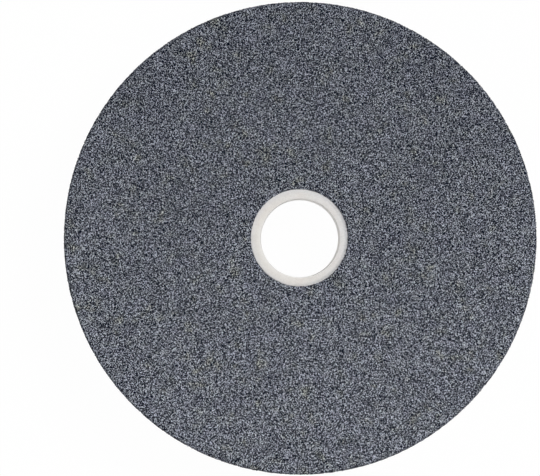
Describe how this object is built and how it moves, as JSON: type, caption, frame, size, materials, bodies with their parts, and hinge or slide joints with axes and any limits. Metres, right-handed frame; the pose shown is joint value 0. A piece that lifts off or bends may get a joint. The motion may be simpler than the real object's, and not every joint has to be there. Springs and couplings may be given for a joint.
{
  "type": "bench grinding wheel",
  "caption": "Straight bench grinding wheel of bonded blue-grey abrasive grit with a white plastic bore bush, clamped between flanges on a spindle.",
  "frame": {"origin": "centre of the lower side face", "axes": "+Z along the wheel's axis, X and Y across the wheel; the wheel is round, so X has no mark of its own"},
  "size_m": [0.1524, 0.1524, 0.0191],
  "materials": {
    "bonded_grit": "open-textured blue-grey aluminium-oxide grit in a fired glassy bond",
    "white_plastic": "matt off-white moulded plastic, faintly mottled"
  },
  "bodies": {
    "root": {"abrasive_wheel": "bonded_grit", "bore_bush": "white_plastic"}
  },
  "joints": []
}
